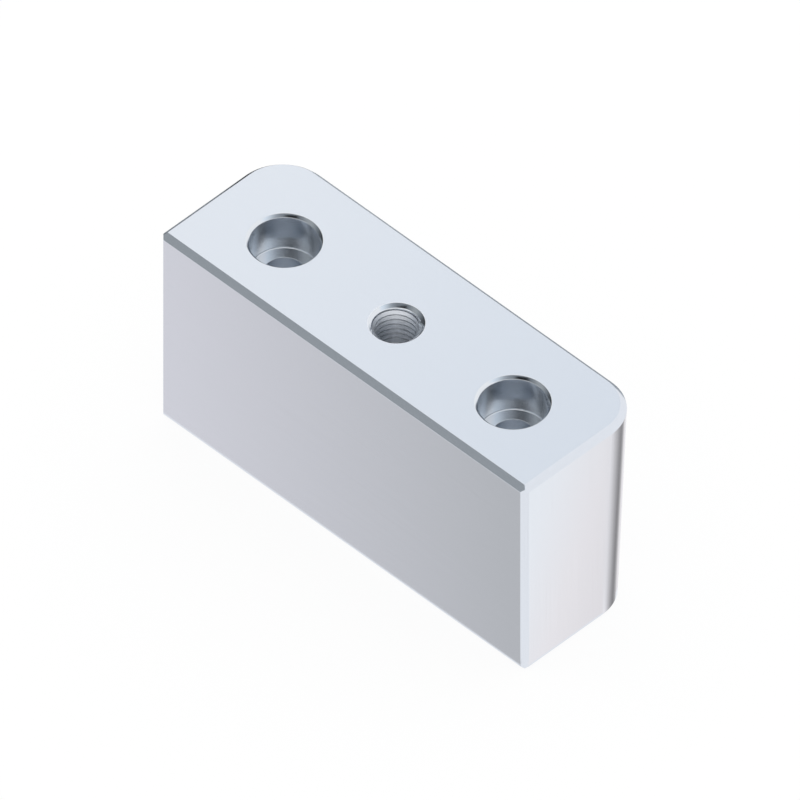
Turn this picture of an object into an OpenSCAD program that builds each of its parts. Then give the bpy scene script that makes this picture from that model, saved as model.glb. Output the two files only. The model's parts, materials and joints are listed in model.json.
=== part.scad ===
// Mold wedge block: a steel block with one tapered long face, pulled down into
// its pocket by two socket-head screws and pushed out again by a jack screw.
// The origin is on the base face, midway between the axes of the fixing screws.
// +X runs along the block, +Y points to the tapered face and +Z points up.

/* [Block] */
// Length of the block, end to end
block_l = 80; // [70:1:200]
// Width of the base, from the front face to the foot of the tapered face
base_w = 25; // [20:0.5:60]
// Height of the block, base to top
block_h = 40; // [20:1:120]
// Lean of the tapered face, outwards as it rises, in degrees
taper = 3; // [0:0.5:15]
// Radius of the two rear corners, which clear the corners of a milled pocket
corner_r = 8; // [4:0.5:15]
// Leg of the 45 degree chamfer on the outer edges
edge_c = 1; // [0.2:0.1:2]

/* [Screw holes] */
// Distance between the two fixing screws
screw_pitch = 50; // [26:1:64]
// Distance of the fixing screws from the front face
screw_inset = 12.5; // [9:0.5:16]
// Clearance hole for the screw's shank
shank_d = 6.6; // [3.4:0.1:10]
// Counterbore for the screw's head
head_d = 11; // [7.5:0.1:15]
// Depth of the counterbore
head_depth = 7; // [2:0.5:15]
// Leg of the chamfer round the mouths of the screw holes
rim_c = 0.5; // [0.1:0.1:1]

/* [Jack hole] */
// Distance of the jack screw from the front face
jack_inset = 12; // [9:0.5:16]
// Nominal size of the jack screw's thread
jack_d = 8; // [5:1:12]
// Pitch of that thread
jack_pitch = 1; // [0.5:0.25:1.5]
// Width of the countersink beyond the thread's nominal size, across the mouth
jack_relief = 1; // [0.2:0.1:3]

/* [Hidden] */
$fn = 96;
steel = [0.82, 0.85, 0.90];

// How far a cut runs past the surface that it starts from
over = 1;
// A nut thread's core is smaller than its nominal size by this much of the pitch
CORE_SHARE = 1.0825;
jack_core_r = (jack_d - CORE_SHARE * jack_pitch) / 2;
jack_mouth_r = (jack_d + jack_relief) / 2;
jack_mouth_depth = jack_mouth_r - jack_core_r;

// The tapered face at the height z
lean = tan(taper);
front_y = -screw_inset;
foot_y = front_y + base_w;
function rear_y(z) = foot_y + lean * z;

jack_y = front_y + jack_inset;

end_x = block_l / 2;
corner_x = end_x - corner_r;

// Puts what is at one end of the block at its other end as well
module both_ends() {
    for (end = [0, 1])
        mirror([end, 0, 0])
            children();
}

// Outline of one half of the block, square to the tapered face. The origin is where
// the corner's arc runs into that face, and the half ends a little past the middle.
module half_outline(depth) {
    reach = corner_x + over;
    translate([-reach, -depth])
        square([reach + corner_r, depth - corner_r]);
    translate([-reach, -corner_r])
        square([reach, corner_r]);
    translate([0, -corner_r])
        intersection() {
            circle(corner_r);
            square(corner_r + over);
        }
}

// The half outline swept up along the tapered face, then cut level at the base and
// the top and upright at the front
module half_blank() {
    depth = base_w + lean * block_h + over;
    start = -depth * lean - over;
    intersection() {
        translate([corner_x, foot_y, 0])
            rotate([-taper, 0, 0])
                translate([0, 0, start])
                    linear_extrude(block_h / cos(taper) + over - start)
                        half_outline(depth);
        translate([-over, front_y, 0])
            cube([end_x + 2 * over, 2 * depth, block_h]);
    }
}

// What a chamfer takes off a square edge. The edge is at the origin and faces
// outwards on both axes.
module chamfer_section() {
    polygon([[over, over], [-edge_c - over, over], [over, -edge_c - over]]);
}

// Chamfer along Y, on an edge that faces +X and +Z
module edge_cut(from, to) {
    translate([0, to, 0])
        rotate([90, 0, 0])
            linear_extrude(to - from)
                chamfer_section();
}

// Chamfer round the rim of the top: the front, the ends, the rear corners and the
// tapered side, whose edge is at rim_y
module rim_cut(rim_y) {
    arc_y = rim_y - corner_r;
    translate([0, front_y, 0])
        rotate([0, 0, -90])
            edge_cut(-end_x - over, end_x + over);
    both_ends()
        translate([corner_x, arc_y, 0]) {
            translate([corner_r, 0, 0])
                edge_cut(front_y - arc_y - over, 0);
            rotate_extrude(angle = 90)
                translate([corner_r, 0])
                    chamfer_section();
            translate([0, corner_r, 0])
                rotate([0, 0, 90])
                    edge_cut(0, corner_x + over);
        }
}

module edge_chamfers() {
    translate([0, 0, block_h])
        rim_cut(rear_y(block_h));
    mirror([0, 0, 1])
        rim_cut(foot_y);
    both_ends()
        translate([end_x, front_y, -over])
            mirror([0, 1, 0])
                linear_extrude(block_h + 2 * over)
                    chamfer_section();
}

// Counterbored clearance hole for one fixing screw
module screw_hole() {
    shank_r = shank_d / 2;
    head_r = head_d / 2;
    rotate_extrude()
        polygon([
            [0, -over],
            [shank_r + rim_c + over, -over],
            [shank_r, rim_c],
            [shank_r, block_h - head_depth],
            [head_r, block_h - head_depth],
            [head_r, block_h - rim_c],
            [head_r + rim_c + over, block_h + over],
            [0, block_h + over]
        ]);
}

// Through hole at the core size of the jack thread, countersunk at both mouths
module jack_hole() {
    rotate_extrude()
        polygon([
            [0, -over],
            [jack_mouth_r + over, -over],
            [jack_core_r, jack_mouth_depth],
            [jack_core_r, block_h - jack_mouth_depth],
            [jack_mouth_r + over, block_h + over],
            [0, block_h + over]
        ]);
}

module wedge_block() {
    color(steel)
        difference() {
            both_ends()
                half_blank();
            edge_chamfers();
            both_ends()
                translate([screw_pitch / 2, 0, 0])
                    screw_hole();
            translate([0, jack_y, 0])
                jack_hole();
        }
}

wedge_block();
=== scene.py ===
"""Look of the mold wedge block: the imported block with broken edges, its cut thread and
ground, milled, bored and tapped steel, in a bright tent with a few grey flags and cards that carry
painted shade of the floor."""

import json
from math import cos, hypot, pi, radians, sin, tan

import bmesh
import bpy
from mathutils import Matrix, Vector


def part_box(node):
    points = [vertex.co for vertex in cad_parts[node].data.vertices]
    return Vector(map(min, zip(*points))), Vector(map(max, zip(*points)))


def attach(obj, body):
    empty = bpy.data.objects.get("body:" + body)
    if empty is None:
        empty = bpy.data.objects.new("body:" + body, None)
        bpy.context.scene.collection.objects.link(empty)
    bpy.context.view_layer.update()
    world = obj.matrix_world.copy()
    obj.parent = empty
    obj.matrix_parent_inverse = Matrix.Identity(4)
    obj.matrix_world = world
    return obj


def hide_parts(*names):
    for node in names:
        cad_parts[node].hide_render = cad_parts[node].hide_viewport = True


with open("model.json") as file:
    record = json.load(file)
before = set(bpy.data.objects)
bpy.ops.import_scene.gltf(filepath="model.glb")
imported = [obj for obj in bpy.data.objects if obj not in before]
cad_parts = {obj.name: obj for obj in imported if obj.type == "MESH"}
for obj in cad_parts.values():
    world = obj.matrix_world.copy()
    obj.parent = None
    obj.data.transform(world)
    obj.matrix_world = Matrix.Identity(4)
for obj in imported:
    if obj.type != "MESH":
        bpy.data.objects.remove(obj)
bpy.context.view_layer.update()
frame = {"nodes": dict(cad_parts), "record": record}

MM = 0.001
NODE = "wedge_block"
BODY = "root"

MOUNTS = {mount["name"]: mount for mount in frame["record"]["mounts"]}
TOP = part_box(NODE)[1].z
HEAD_R = MOUNTS["head_recess_right"]["dims"]["r_mm"] * MM
HALF_DOWN_RECESS = MOUNTS["head_recess_right"]["pos_m"][2]
SCREW_X = MOUNTS["screw_holes"]["dims"]["spacing_x_mm"] / 2 * MM
# What is nearer than this to a size is taken to be at it
CLOSE = 0.02 * MM

# Camera

# The photograph is taken from 45 degrees round and 45 degrees up, without perspective
VIEW_TURN = radians(45)
VIEW_RISE = radians(45)
FRAME_WIDTH = 123.65 * MM
# Where the middle of the frame lies from the origin, along the picture
AIM_RIGHT = 0.181 * MM
AIM_UP = 16.125 * MM
CAMERA_DISTANCE = 600 * MM


def add_camera():
    right = Vector((cos(VIEW_TURN), sin(VIEW_TURN), 0))
    level = cos(VIEW_RISE)
    back = Vector((sin(VIEW_TURN) * level, -cos(VIEW_TURN) * level, sin(VIEW_RISE)))
    up = back.cross(right)
    data = bpy.data.cameras.new("camera")
    data.type = "ORTHO"
    data.ortho_scale = FRAME_WIDTH
    camera = bpy.data.objects.new("camera", data)
    turn = Matrix((right, up, back)).transposed().to_4x4()
    place = right * AIM_RIGHT + up * AIM_UP + back * CAMERA_DISTANCE
    camera.matrix_world = Matrix.Translation(place) @ turn
    bpy.context.scene.collection.objects.link(camera)
    bpy.context.scene.camera = camera


# Shape of the block

# Points nearer than this are one point, and faces that differ by less than this are one face
WELD = 1e-7
FLAT_ANGLE = radians(0.05)
# Hand-broken edges, and the cutter's rounder corner round each recess floor
EDGE_BREAK = 0.06 * MM
FLOOR_ROUND = 0.2 * MM
EDGE_SEGMENTS = 3
# Least angle between two faces at an edge that is broken, and at one that is shaded sharp
EDGE_ANGLE = radians(30)
SHARP_ANGLE = radians(35)
# The most that large faces can count for in the smoothed normals
FACE_WEIGHT = 100

# The jack thread, a 60 degree metric one
PITCH = 1 * MM
JACK_Y = MOUNTS["jack_thread"]["pos_m"][1]
CORE_R = MOUNTS["jack_thread"]["dims"]["r_mm"] * MM
FLANK = radians(30)
ROOT_DEPTH = 0.6 * PITCH
MOUTH_WIDTH = 0.75 * PITCH
# How far inside the core the cutter's flanks run on, and how far the cutter reaches in
FLANK_OVERRUN = 0.05 * MM
CUTTER_REACH = 0.6 * MM
# Height of the groove's middle over the base on the +X side, in pitches
THREAD_START = 0.48
STEPS_PER_TURN = 96
# Turns of the cutter beyond the block's height, of which the first starts below the base
SPARE_TURNS = 3


def from_screw(point):
    """Distance of a point from the nearer screw's axis"""
    return hypot(abs(point.x) - SCREW_X, point.y)


def link(name, mesh):
    piece = bpy.data.objects.new(name, mesh)
    bpy.context.scene.collection.objects.link(piece)
    return piece


def at_recess_floor(edge):
    return all(
        corner.co.z < HALF_DOWN_RECESS and abs(from_screw(corner.co) - HEAD_R) < CLOSE
        for corner in edge.verts
    )


def welded_block(name):
    """The CAD node's mesh, welded and with each flat made of as few faces as it can be. Its edges
    carry their share of the widest bevel."""
    work = bmesh.new()
    work.from_mesh(frame["nodes"][NODE].data)
    bmesh.ops.remove_doubles(work, verts=work.verts, dist=WELD)
    bmesh.ops.dissolve_limit(work, angle_limit=FLAT_ANGLE, verts=work.verts, edges=work.edges)
    weight = work.edges.layers.float.new("bevel_weight_edge")
    for edge in work.edges:
        if edge.calc_face_angle() > EDGE_ANGLE:
            edge[weight] = 1 if at_recess_floor(edge) else EDGE_BREAK / FLOOR_ROUND
    mesh = bpy.data.meshes.new(name)
    work.to_mesh(mesh)
    work.free()
    return link(name, mesh)


def thread_profile():
    """Section of the cut groove, as distances from the axis and along it"""
    half = MOUTH_WIDTH / 2
    half_inner = half + FLANK_OVERRUN * tan(FLANK)
    half_root = half - ROOT_DEPTH * tan(FLANK)
    return [
        (CORE_R - CUTTER_REACH, -half_inner),
        (CORE_R - FLANK_OVERRUN, -half_inner),
        (CORE_R + ROOT_DEPTH, -half_root),
        (CORE_R + ROOT_DEPTH, half_root),
        (CORE_R - FLANK_OVERRUN, half_inner),
        (CORE_R - CUTTER_REACH, half_inner),
    ]


def thread_cutter(name):
    """A right-handed helical bar that cuts the groove from below the base to above the top"""
    profile = thread_profile()
    turns = int(TOP / PITCH) + SPARE_TURNS
    work = bmesh.new()
    rows = []
    for step in range(turns * STEPS_PER_TURN + 1):
        angle = 2 * pi * (step / STEPS_PER_TURN)
        rise = (step / STEPS_PER_TURN + THREAD_START - 1) * PITCH
        rows.append([
            work.verts.new((r * cos(angle), JACK_Y + r * sin(angle), rise + z)) for r, z in profile
        ])
    for below, above in zip(rows, rows[1:]):
        for i in range(len(profile)):
            j = (i + 1) % len(profile)
            work.faces.new((below[i], below[j], above[j], above[i]))
    work.faces.new(rows[0][::-1])
    work.faces.new(rows[-1])
    bmesh.ops.recalc_face_normals(work, faces=work.faces)
    mesh = bpy.data.meshes.new(name)
    work.to_mesh(mesh)
    work.free()
    return link(name, mesh)


def shape_block():
    """The dressed block: edges broken, thread cut, shaded smooth between its sharp edges"""
    piece = welded_block("block")
    edges = piece.modifiers.new("edges", "BEVEL")
    edges.width = FLOOR_ROUND
    edges.segments = EDGE_SEGMENTS
    edges.limit_method = "WEIGHT"
    cutter = thread_cutter("thread_cutter")
    thread = piece.modifiers.new("thread", "BOOLEAN")
    thread.operation = "DIFFERENCE"
    thread.solver = "EXACT"
    thread.object = cutter
    shown = piece.evaluated_get(bpy.context.evaluated_depsgraph_get())
    mesh = bpy.data.meshes.new_from_object(shown)
    piece.modifiers.clear()
    piece.data = mesh
    bpy.data.objects.remove(cutter)
    mesh.shade_smooth()
    mesh.set_sharp_from_angle(angle=SHARP_ANGLE)
    normals = piece.modifiers.new("normals", "WEIGHTED_NORMAL")
    normals.keep_sharp = True
    normals.weight = FACE_WEIGHT
    return piece


# Finishes

STEEL = (0.76, 0.79, 0.84)
BORED_STEEL = (0.79, 0.815, 0.845)
# The thread's steel is lighter than the rest: painted light, standing in for the light that its
# grooves lose between their flanks
TAPPED_STEEL_PAINTED_LIGHT = (0.885, 0.905, 0.935)
# How many marks there are to a metre along X, Y and Z, and how deep they are
ALONG_BLOCK = (60, 9000, 9000)
UPRIGHT = (5000, 5000, 40)
EVEN = (2000, 2000, 2000)
ROUND_HOLE = (300, 300, 9000)
MARK_DEPTH = 0.0002 * MM
THREAD_MARK_DEPTH = 0.0001 * MM
# Tone, roughness, spacing and depth of the marks
FINISHES = {
    "ground": (STEEL, 0.14, ALONG_BLOCK, MARK_DEPTH),
    "milled": (STEEL, 0.14, UPRIGHT, MARK_DEPTH),
    "chamfer": (STEEL, 0.16, EVEN, MARK_DEPTH),
    "countersunk": (BORED_STEEL, 0.12, ROUND_HOLE, MARK_DEPTH),
    "bored": (BORED_STEEL, 0.22, ROUND_HOLE, MARK_DEPTH),
    # The tapped steel's lighter tone is painted light for the thread's shaded grooves
    "tapped": (TAPPED_STEEL_PAINTED_LIGHT, 0.34, ROUND_HOLE, THREAD_MARK_DEPTH),
}
# How far the marks move the tone and the roughness to either side, as a share
TONE_SPREAD = 0.03
ROUGHNESS_SPREAD = 0.2
MARK_DETAIL = 3

# How far the mouths of the holes reach beyond the recesses' walls and the thread's core
RECESS_RIM = 0.6 * MM
JACK_RIM = 1.15 * MM
# A face is level where its normal's part along Z is over LEVEL_Z, and a side where it is under
# SIDE_Z. The long sides have a part along Y over LONG_SIDE_Y, and the ends and rear corners
# have one along X over OTHER_SIDE_X.
LEVEL_Z = 0.999
SIDE_Z = 0.06
LONG_SIDE_Y = 0.99
OTHER_SIDE_X = 0.02
# The part along Z on a 45 degree cone, and how far off it may be
CONE_Z = sin(radians(45))
CONE_SLACK = 0.02


def new_material(name):
    material = bpy.data.materials.new(name)
    material.use_nodes = True
    return material, material.node_tree.nodes, material.node_tree.links


def steel(name, tone, roughness, spacing, depth):
    """Machined steel, whose marks are noise stretched by the three scales of spacing"""
    material, nodes, links = new_material(name)
    shader = nodes["Principled BSDF"]
    shader.inputs["Metallic"].default_value = 1
    place = nodes.new("ShaderNodeTexCoord")
    stretch = nodes.new("ShaderNodeMapping")
    stretch.inputs["Scale"].default_value = spacing
    links.new(place.outputs["Object"], stretch.inputs["Vector"])
    marks = nodes.new("ShaderNodeTexNoise")
    marks.inputs["Scale"].default_value = 1
    marks.inputs["Detail"].default_value = MARK_DETAIL
    links.new(stretch.outputs["Vector"], marks.inputs["Vector"])

    shade = nodes.new("ShaderNodeMix")
    shade.data_type = "RGBA"
    shade.inputs[6].default_value = (*((1 - TONE_SPREAD) * c for c in tone), 1)
    shade.inputs[7].default_value = (*((1 + TONE_SPREAD) * c for c in tone), 1)
    links.new(marks.outputs["Fac"], shade.inputs[0])
    links.new(shade.outputs[2], shader.inputs["Base Color"])

    rough = nodes.new("ShaderNodeMapRange")
    rough.inputs["To Min"].default_value = roughness * (1 - ROUGHNESS_SPREAD)
    rough.inputs["To Max"].default_value = roughness * (1 + ROUGHNESS_SPREAD)
    links.new(marks.outputs["Fac"], rough.inputs["Value"])
    links.new(rough.outputs["Result"], shader.inputs["Roughness"])

    bump = nodes.new("ShaderNodeBump")
    bump.inputs["Strength"].default_value = 1
    bump.inputs["Distance"].default_value = depth
    links.new(marks.outputs["Fac"], bump.inputs["Height"])
    links.new(bump.outputs["Normal"], shader.inputs["Normal"])
    return material


def face_finish(face):
    """Name of the finish that a face has, from where it lies and which way it faces"""
    point, normal = face.center, face.normal
    if abs(normal.z) > LEVEL_Z and not CLOSE < point.z < TOP - CLOSE:
        return "ground"
    in_jack_hole = hypot(point.x, point.y - JACK_Y) < CORE_R + JACK_RIM
    if in_jack_hole or from_screw(point) < HEAD_R + RECESS_RIM:
        if abs(abs(normal.z) - CONE_Z) < CONE_SLACK:
            return "countersunk"
        return "tapped" if in_jack_hole else "bored"
    if abs(normal.y) > LONG_SIDE_Y:
        return "ground"
    if abs(normal.z) < SIDE_Z and abs(normal.x) > OTHER_SIDE_X:
        return "milled"
    return "chamfer"


def dress(piece):
    """Gives each face of the block its finish"""
    order = list(FINISHES)
    for name in order:
        piece.data.materials.append(steel(f"{name}_steel", *FINISHES[name]))
    for face in piece.data.polygons:
        face.material_index = order.index(face_finish(face))


# Stage

# What the world looks like in the steel
BRIGHT = (0.96, 0.97, 0.99)
# The grey where the front card ends, and the one that the long chamfer mirrors
FRONT_GREY = (0.573, 0.572, 0.581)
CHAMFER_GREY = (0.354, 0.378, 0.394)

# Heights over the base, in millimetres. The floor doesn't show in the steel, and the dark
# strip lies over the other low cards.
FLOOR_Z = -0.02
STRIP_Z = -0.04
CARD_Z = -0.05
TOP_CARD_Z = 150

FLOOR_REACH = 1500
# The floor glows just over white, but for a share that is lit and takes the shadow
FLOOR_GLOW = 1.02
FLOOR_TONE = (0.9, 0.9, 0.9)
FLOOR_SHARE_LIT = 0.12

# Where the curtains' turns start, in degrees from +X
CURTAIN_START = 40
CURTAIN_STEPS = 40


def grey(level):
    """A slightly blue grey"""
    return (0.91 * level, level, 1.1 * level)


def warm_grey(level):
    """A grey that comes out neutral in the bluish steel"""
    return (1.04 * level, level, level)


def at_height(height, points):
    """Corners at one height, from their places in plan"""
    return [(x, y, height) for x, y in points]


def flat_mesh(name, corners):
    """One face, from its corners in millimetres"""
    mesh = bpy.data.meshes.new(name)
    mesh.from_pydata([Vector(c) * MM for c in corners], [], [range(len(corners))])
    return mesh


def glow(name, stops, place_along):
    """Emission in the stops' colours. A place runs from 0 to 1, and place_along makes the socket
    that gives it."""
    material, nodes, links = new_material(name)
    nodes.clear()
    out = nodes.new("ShaderNodeOutputMaterial")
    light = nodes.new("ShaderNodeEmission")
    ramp = nodes.new("ShaderNodeValToRGB")
    where = nodes.new("ShaderNodeNewGeometry")
    links.new(place_along(nodes, links, where.outputs["Position"]), ramp.inputs["Fac"])
    points = ramp.color_ramp.elements
    while len(points) < len(stops):
        points.new(0.5)
    for point, (place, colour) in zip(points, stops):
        point.position = place
        point.color = (*colour, 1)
    links.new(ramp.outputs["Color"], light.inputs["Color"])
    links.new(light.outputs["Emission"], out.inputs["Surface"])
    return material


def along_line(start, end):
    """Place along the line from start to end"""
    line = (Vector(end) - Vector(start)) * MM

    def socket(nodes, links, position):
        along = nodes.new("ShaderNodeVectorMath")
        along.operation = "DOT_PRODUCT"
        along.inputs[1].default_value = line / line.length_squared
        shift = nodes.new("ShaderNodeMath")
        shift.operation = "SUBTRACT"
        shift.inputs[1].default_value = (Vector(start) * MM).dot(line) / line.length_squared
        links.new(position, along.inputs[0])
        links.new(along.outputs["Value"], shift.inputs[0])
        return shift.outputs["Value"]

    return socket


def round_point(centre, start, sense):
    """Place round an upright axis through the centre, a full turn from 0 to 1. It starts at the
    angle start from +X, in degrees, and goes anticlockwise where sense is 1, else clockwise."""
    turn = radians(start)
    ahead = (cos(turn), sin(turn), 0)
    aside = (-sense * sin(turn), sense * cos(turn), 0)

    def socket(nodes, links, position):
        shift = nodes.new("ShaderNodeVectorMath")
        shift.operation = "SUBTRACT"
        shift.inputs[1].default_value = Vector(centre) * MM
        links.new(position, shift.inputs[0])
        angle = nodes.new("ShaderNodeMath")
        angle.operation = "ARCTAN2"
        for direction, place in ((aside, 0), (ahead, 1)):
            part = nodes.new("ShaderNodeVectorMath")
            part.operation = "DOT_PRODUCT"
            part.inputs[1].default_value = direction
            links.new(shift.outputs["Vector"], part.inputs[0])
            links.new(part.outputs["Value"], angle.inputs[place])
        turns = nodes.new("ShaderNodeMath")
        turns.operation = "DIVIDE"
        turns.inputs[1].default_value = 2 * pi
        share = nodes.new("ShaderNodeMath")
        share.operation = "FRACT"
        links.new(angle.outputs["Value"], turns.inputs[0])
        links.new(turns.outputs["Value"], share.inputs[0])
        return share.outputs["Value"]

    return socket


def by_turn(stops):
    """Stops given in degrees of turn, as shares of a full turn"""
    return [(turn / 360, colour) for turn, colour in stops]


def plain(colour):
    """Stops of one colour"""
    return [(0, colour), (1, colour)]


def show_in_steel(name, mesh, place_along, stops):
    """Adds a mesh in the stops' colours that the steel mirrors. It neither shows nor lights nor
    shades anything."""
    mesh.materials.append(glow(name, stops, place_along))
    item = link(name, mesh)
    item.visible_camera = False
    item.visible_diffuse = False
    item.visible_transmission = False
    item.visible_volume_scatter = False
    item.visible_shadow = False


def card(name, corners, place_along, stops):
    """A flat card that only the steel sees"""
    show_in_steel(name, flat_mesh(name, corners), place_along, stops)


def between(turn, places):
    """Value at a turn between the two nearest of the (turn, value) places"""
    for (first, low), (second, high) in zip(places, places[1:]):
        if turn <= second:
            return low + (high - low) * (turn - first) / (second - first)
    return places[-1][1]


def curtain(name, distance, bottom, top, stops):
    """A card bent round the origin, clockwise from CURTAIN_START, with its stops at turns in
    degrees. Its two edges are (turn, rise) places, in degrees too."""
    first, last = stops[0][0], stops[-1][0]
    points = []
    for step in range(CURTAIN_STEPS + 1):
        turn = first + (last - first) * step / CURTAIN_STEPS
        angle = radians(CURTAIN_START - turn)
        for edge in (bottom, top):
            height = distance * tan(radians(between(turn, edge)))
            points.append(Vector((distance * cos(angle), distance * sin(angle), height)) * MM)
    faces = [(2 * i, 2 * i + 2, 2 * i + 3, 2 * i + 1) for i in range(CURTAIN_STEPS)]
    mesh = bpy.data.meshes.new(name)
    mesh.from_pydata(points, [], faces)
    show_in_steel(name, mesh, round_point((0, 0, 0), CURTAIN_START, -1), by_turn(stops))


def add_floor():
    """A white floor that takes a faint shadow and is clear from below"""
    material, nodes, links = new_material("floor")
    nodes.clear()
    out = nodes.new("ShaderNodeOutputMaterial")
    white = nodes.new("ShaderNodeEmission")
    white.inputs["Strength"].default_value = FLOOR_GLOW
    lit = nodes.new("ShaderNodeBsdfDiffuse")
    lit.inputs["Color"].default_value = (*FLOOR_TONE, 1)
    blend = nodes.new("ShaderNodeMixShader")
    blend.inputs["Fac"].default_value = FLOOR_SHARE_LIT
    links.new(white.outputs["Emission"], blend.inputs[1])
    links.new(lit.outputs["BSDF"], blend.inputs[2])
    side = nodes.new("ShaderNodeNewGeometry")
    clear = nodes.new("ShaderNodeBsdfTransparent")
    either = nodes.new("ShaderNodeMixShader")
    links.new(side.outputs["Backfacing"], either.inputs["Fac"])
    links.new(blend.outputs["Shader"], either.inputs[1])
    links.new(clear.outputs["BSDF"], either.inputs[2])
    links.new(either.outputs["Shader"], out.inputs["Surface"])

    far = FLOOR_REACH
    corners = at_height(FLOOR_Z, [(-far, -far), (far, -far), (far, far), (-far, far)])
    mesh = flat_mesh("floor", corners)
    mesh.materials.append(material)
    floor = link("floor", mesh)
    floor.visible_glossy = False


def add_world():
    """A white world, which looks a little darker and bluer in the steel"""
    world = bpy.data.worlds.new("world")
    world.use_nodes = True
    bpy.context.scene.world = world
    nodes, links = world.node_tree.nodes, world.node_tree.links
    nodes.clear()
    out = nodes.new("ShaderNodeOutputWorld")
    white = nodes.new("ShaderNodeBackground")
    white.inputs["Color"].default_value = (1, 1, 1, 1)
    mirrored = nodes.new("ShaderNodeBackground")
    mirrored.inputs["Color"].default_value = (*BRIGHT, 1)
    path = nodes.new("ShaderNodeLightPath")
    mix = nodes.new("ShaderNodeMixShader")
    links.new(path.outputs["Is Glossy Ray"], mix.inputs["Fac"])
    links.new(white.outputs["Background"], mix.inputs[1])
    links.new(mirrored.outputs["Background"], mix.inputs[2])
    links.new(mix.outputs["Shader"], out.inputs["Surface"])


def add_front_cards():
    # Seen in the front face, darker to the right
    card(
        "front_card",
        at_height(CARD_Z, [(-130, -13.5), (40, -13.5), (40, -110), (-130, -110)]),
        along_line((-37, -12.5, 0), (0, -49.5, 0)),
        [(0, (0.80, 0.78, 0.81)), (1, FRONT_GREY)],
    )
    # Carries the front card's grey over into the white
    card(
        "front_fade",
        at_height(CARD_Z, [(40.1, -13.5), (110, -40), (110, -110), (40.1, -110)]),
        round_point((40, -12.5, 0), -90, 1),
        by_turn([(0, FRONT_GREY), (30, BRIGHT)]),
    )
    # Seen in the end face, a little darker near the block: painted shade of the floor beside the
    # block
    card(
        "end_card",
        at_height(CARD_Z, [(41, -13), (110, -13), (110, 79.8), (41, 5.58)]),
        along_line((40.8, 4, 0), (53.3, -4, 0)),
        [(0, (0.945, 0.895, 0.885)), (0.4, (1.015, 0.965, 0.955)), (1, (1.03, 1.045, 1.055))],
    )


def add_rear_cards():
    # Seen in the rear corner: the shade that the block throws behind it
    card(
        "corner_card",
        at_height(
            CARD_Z,
            [(40.4, 4.96), (93.4, 62), (-10, 62), (-10, 13.2), (33, 13.2), (38.4, 10.9)],
        ),
        round_point((39.4, 4.6, 0), 0, 1),
        by_turn([
            (44, (1.0, 0.965, 0.96)),
            (54, warm_grey(0.82)),
            (64, warm_grey(0.63)),
            (74, warm_grey(0.41)),
            (86, warm_grey(0.27)),
            (93, warm_grey(0.43)),
            (103, warm_grey(0.87)),
            (132, BRIGHT),
        ]),
    )
    # Seen in the rear and left chamfers of the top
    card(
        "rear_flag",
        at_height(
            CARD_Z,
            [(-125, 62.1), (30, 62.1), (0, 150), (-60, 150), (-60, 86), (-125, 86)],
        ),
        along_line((0, 62, 0), (0, 150, 0)),
        [(0, grey(0.32)), (1, grey(0.4))],
    )
    card(
        "left_flag",
        at_height(CARD_Z, [(-125, 18), (-78, 18), (-78, 62), (-125, 62)]),
        along_line((0, 18, 0), (0, 62, 0)),
        plain(grey(0.25)),
    )
    # Seen on the right of each hole's mouth
    near_edge = [(-30, 35), (-78, 40), (-110, 43.5), (-480, 42)]
    far_edge = [(-480, 58), (-110, 54), (-78, 51), (-30, 44)]
    card(
        "dark_strip",
        at_height(STRIP_Z, near_edge + far_edge),
        along_line((-30, 0, 0), (-480, 0, 0)),
        [(0, BRIGHT), (0.05, grey(0.04)), (1, grey(0.04))],
    )


def add_top_card():
    # Seen in the top face, a little darker to the right
    card(
        "top_card",
        at_height(TOP_CARD_Z, [(-170, 50), (30, 50), (30, 130), (-170, 130)]),
        along_line((-115, 0, 0), (-41, 0, 0)),
        [(0, (0.99, 1.01, 1.03)), (1, (0.875, 0.915, 0.96))],
    )


def add_curtains():
    # Seen in the long chamfer over the front face and in the holes
    curtain(
        "front_curtain",
        500,
        [(8, 34), (125, 34), (145, 24), (158, 15), (180, 13), (205, -4), (240, -14)],
        [(8, 64), (175, 64), (200, 52), (220, 18), (240, 2)],
        [
            (8, BRIGHT),
            (24, grey(0.88)),
            (40, grey(0.7)),
            (50, grey(0.54)),
            (60, grey(0.4)),
            (72, grey(0.3)),
            (84, grey(0.25)),
            (140, grey(0.24)),
            (158, CHAMFER_GREY),
            (173, CHAMFER_GREY),
            (188, grey(0.24)),
            (204, grey(0.1)),
            (218, grey(0.05)),
            (240, grey(0.05)),
        ],
    )
    # Seen as the black spot at the back of each hole's mouth
    curtain(
        "dark_curtain",
        480,
        [(86, 36), (134, 36)],
        [(86, 50), (134, 50)],
        [
            (86, grey(0.16)),
            (98, grey(0.02)),
            (122, grey(0.02)),
            (134, grey(0.16)),
        ],
    )


# Scene

add_camera()
block = shape_block()
dress(block)
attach(block, BODY)
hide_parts(NODE)

add_floor()
add_world()
add_front_cards()
add_rear_cards()
add_top_card()
add_curtains()

bpy.context.scene.view_settings.view_transform = "Standard"
# Enough for light to find its way out of the holes
bpy.context.scene.cycles.max_bounces = 16
bpy.context.scene.cycles.glossy_bounces = 12
